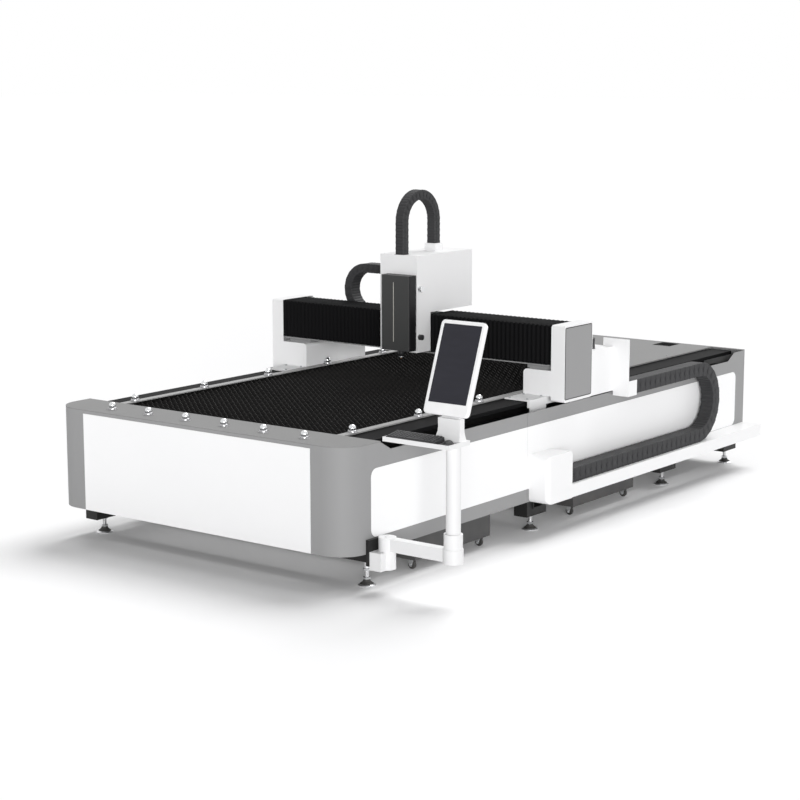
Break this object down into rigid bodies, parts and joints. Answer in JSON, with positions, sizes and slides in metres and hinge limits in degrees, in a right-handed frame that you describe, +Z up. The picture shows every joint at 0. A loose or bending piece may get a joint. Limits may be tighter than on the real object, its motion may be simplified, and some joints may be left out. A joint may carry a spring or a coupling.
{
  "type": "flatbed laser cutting machine",
  "caption": "Flatbed sheet cutting machine with a slatted table, a travelling gantry with a cross carriage and vertical cutting head, cable chains, a swing-arm console and scrap carts.",
  "frame": {"origin": "bottom centre of the bounding box, on the floor under the feet", "axes": "+X along the bed from the operator's end to the rear, +Y to the left side of the bed, +Z up"},
  "size_m": [4.442, 2.837, 2.0005],
  "materials": {
    "grey_paint": "satin",
    "white_paint": "satin",
    "black_paint": "satin",
    "dark_paint": "satin",
    "steel": "ground",
    "chrome": "polished",
    "brass": "turned",
    "black_plastic": "matt",
    "white_plastic": "gloss",
    "rubber": "matt",
    "display_glass": "dark glass"
  },
  "bodies": {
    "bed": {"cross_beams": "black_paint", "bed_beams": "dark_paint", "table_frame": "grey_paint", "slats": "black_paint", "front_cover": "grey_paint", "side_covers": "grey_paint", "rear_cover": "grey_paint", "front_panel": "white_paint", "side_panels": "white_paint", "front_flange": "grey_paint", "rear_deck": "grey_paint", "ball_cups": "chrome", "transfer_balls": "chrome", "rail_covers": "black_paint", "linear_rails": "steel", "racks": "steel", "foot_pads": "chrome", "foot_cones": "rubber", "chain_shelf": "white_paint", "chain_box": "white_paint", "console_mount": "black_paint", "console_bracket": "white_paint", "x_chain": "black_plastic"},
    "gantry": {"gantry_beam": "grey_paint", "beam_rails": "steel", "base_plates": "white_paint", "slider_blocks": "steel", "leg_boxes": "white_paint", "end_covers": "white_paint", "end_panels": "grey_paint", "drive_boxes": "white_paint", "chain_bracket": "white_paint", "x_motors": "dark_paint", "bellows_left": "rubber", "bellows_right": "rubber", "y_chain": "black_plastic"},
    "carriage": {"carriage_plate": "steel", "carriage_cover": "white_paint", "z_rails": "steel", "z_motor": "dark_paint", "z_chain": "black_plastic"},
    "head": {"head_slide": "steel", "head_cover": "dark_paint", "cutting_head": "chrome", "nozzle": "brass"},
    "pinion_right": {"pinion_right": "steel"},
    "pinion_left": {"pinion_left": "steel"},
    "z_screw": {"z_screw": "steel"},
    "console_arm": {"console_arm": "white_paint"},
    "console_top": {"console_post": "white_paint", "console_desk": "white_paint", "keyboard": "black_plastic"},
    "screen": {"monitor": "white_plastic", "display": "display_glass"},
    "front_cart": {"cart_front": "dark_paint"},
    "rear_cart": {"cart_rear": "dark_paint"},
    "front_cart_wheels_a": {"cart_front_wheels_a": "rubber"},
    "front_cart_wheels_b": {"cart_front_wheels_b": "rubber"},
    "rear_cart_wheels_a": {"cart_rear_wheels_a": "rubber"},
    "rear_cart_wheels_b": {"cart_rear_wheels_b": "rubber"}
  },
  "joints": [
    {"name": "gantry_x", "type": "slide", "parent": "bed", "child": "gantry", "axis": [1, 0, 0], "range_m": [-1.45, 1.42], "deforming": ["x_chain"]},
    {"name": "carriage_y", "type": "slide", "parent": "gantry", "child": "carriage", "axis": [0, 1, 0], "range_m": [-0.7, 0.7], "deforming": ["bellows_left", "bellows_right", "y_chain"]},
    {"name": "head_z", "type": "slide", "parent": "carriage", "child": "head", "axis": [0, 0, 1], "range_m": [-0.15, 0.06], "deforming": ["z_chain"]},
    {"name": "pinion_right_spin", "type": "hinge", "parent": "gantry", "child": "pinion_right", "pos_m": [0.256, -0.7575, 0.595], "axis": [0, 0, 1], "continuous": true},
    {"name": "pinion_left_spin", "type": "hinge", "parent": "gantry", "child": "pinion_left", "pos_m": [0.256, 1.2905, 0.595], "axis": [0, 0, 1], "continuous": true},
    {"name": "z_screw_spin", "type": "hinge", "parent": "carriage", "child": "z_screw", "pos_m": [-0.257, 0.1765, 1.2], "axis": [0, 0, 1], "continuous": true},
    {"name": "arm_swing", "type": "hinge", "parent": "bed", "child": "console_arm", "pos_m": [-1.969, -0.9085, 0.228], "axis": [0, 0, 1], "range_deg": [-80, 10]},
    {"name": "post_swivel", "type": "hinge", "parent": "console_arm", "child": "console_top", "pos_m": [-1.969, -1.3385, 0.34], "axis": [0, 0, 1], "range_deg": [-60, 60]},
    {"name": "screen_tilt", "type": "hinge", "parent": "console_top", "child": "screen", "pos_m": [-1.89774, -1.2785, 1.03791], "axis": [0, 1, 0], "range_deg": [-15, 10]},
    {"name": "front_cart_slide", "type": "slide", "parent": "bed", "child": "front_cart", "axis": [0, -1, 0], "range_m": [0, 1.2]},
    {"name": "rear_cart_slide", "type": "slide", "parent": "bed", "child": "rear_cart", "axis": [0, -1, 0], "range_m": [0, 1.2]},
    {"name": "front_cart_wheels_a_spin", "type": "hinge", "parent": "front_cart", "child": "front_cart_wheels_a", "pos_m": [-1.178, -0.7235, 0.025], "axis": [1, 0, 0], "continuous": true},
    {"name": "front_cart_wheels_b_spin", "type": "hinge", "parent": "front_cart", "child": "front_cart_wheels_b", "pos_m": [-1.178, 1.2565, 0.025], "axis": [1, 0, 0], "continuous": true},
    {"name": "rear_cart_wheels_a_spin", "type": "hinge", "parent": "rear_cart", "child": "rear_cart_wheels_a", "pos_m": [0.459, -0.7235, 0.025], "axis": [1, 0, 0], "continuous": true},
    {"name": "rear_cart_wheels_b_spin", "type": "hinge", "parent": "rear_cart", "child": "rear_cart_wheels_b", "pos_m": [0.459, 1.2565, 0.025], "axis": [1, 0, 0], "continuous": true}
  ],
  "couplings": [
    {"joint": "pinion_right_spin", "follows": "gantry_x", "rad_per_m": 35.714},
    {"joint": "pinion_left_spin", "follows": "gantry_x", "rad_per_m": -35.714},
    {"joint": "z_screw_spin", "follows": "head_z", "rad_per_m": -628.32},
    {"joint": "front_cart_wheels_a_spin", "follows": "front_cart_slide", "rad_per_m": 40},
    {"joint": "front_cart_wheels_b_spin", "follows": "front_cart_slide", "rad_per_m": 40},
    {"joint": "rear_cart_wheels_a_spin", "follows": "rear_cart_slide", "rad_per_m": 40},
    {"joint": "rear_cart_wheels_b_spin", "follows": "rear_cart_slide", "rad_per_m": 40}
  ]
}
